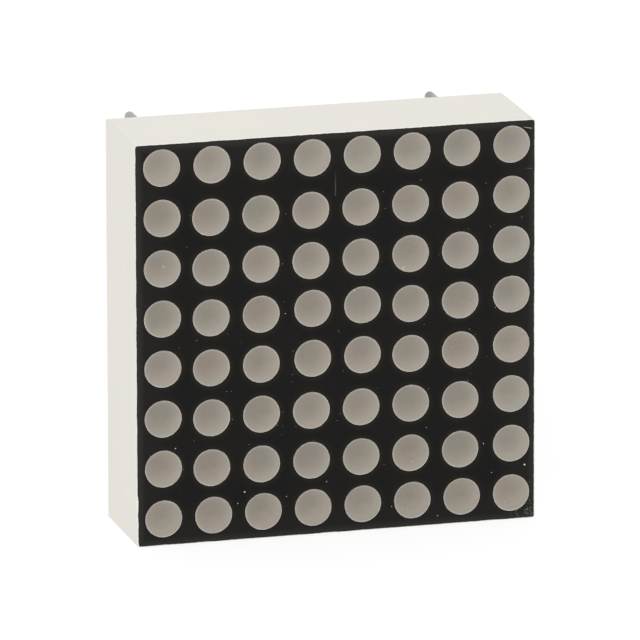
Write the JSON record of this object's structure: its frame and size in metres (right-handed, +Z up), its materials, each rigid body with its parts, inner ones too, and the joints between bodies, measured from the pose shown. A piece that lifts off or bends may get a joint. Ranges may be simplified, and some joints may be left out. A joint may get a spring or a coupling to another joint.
{
  "type": "led dot matrix display module",
  "caption": "Square dot matrix display module with round diffused dots in a black-printed white housing and two rows of straight round pins behind.",
  "frame": {"origin": "middle of the rear rim's plane, between the two rows of pins, where the module seats on a board", "axes": "+Z up the face, +X to the right seen from the front, face towards -Y, pins towards +Y"},
  "size_m": [0.02, 0.0105, 0.02],
  "materials": {
    "housing": "moulded, satin",
    "print": "printed, low sheen",
    "resin": "cast, milky",
    "board": "laminate",
    "copper": "etched",
    "pin": "tinned",
    "solder": "satin",
    "die": "polished",
    "wire": "drawn"
  },
  "bodies": {
    "root": {"housing": "housing", "face_print": "print", "resin": "resin", "circuit_board": "board", "row_copper": "copper", "column_copper": "copper", "pin_left_1": "pin", "pin_left_2": "pin", "pin_left_3": "pin", "pin_left_4": "pin", "pin_left_5": "pin", "pin_left_6": "pin", "pin_left_7": "pin", "pin_left_8": "pin", "pin_right_1": "pin", "pin_right_2": "pin", "pin_right_3": "pin", "pin_right_4": "pin", "pin_right_5": "pin", "pin_right_6": "pin", "pin_right_7": "pin", "pin_right_8": "pin", "solder_left_1": "solder", "solder_left_2": "solder", "solder_left_3": "solder", "solder_left_4": "solder", "solder_left_5": "solder", "solder_left_6": "solder", "solder_left_7": "solder", "solder_left_8": "solder", "solder_right_1": "solder", "solder_right_2": "solder", "solder_right_3": "solder", "solder_right_4": "solder", "solder_right_5": "solder", "solder_right_6": "solder", "solder_right_7": "solder", "solder_right_8": "solder", "dies_row_1": "die", "dies_row_2": "die", "dies_row_3": "die", "dies_row_4": "die", "dies_row_5": "die", "dies_row_6": "die", "dies_row_7": "die", "dies_row_8": "die", "bond_wires_row_1": "wire", "bond_wires_row_2": "wire", "bond_wires_row_3": "wire", "bond_wires_row_4": "wire", "bond_wires_row_5": "wire", "bond_wires_row_6": "wire", "bond_wires_row_7": "wire", "bond_wires_row_8": "wire"}
  },
  "joints": []
}
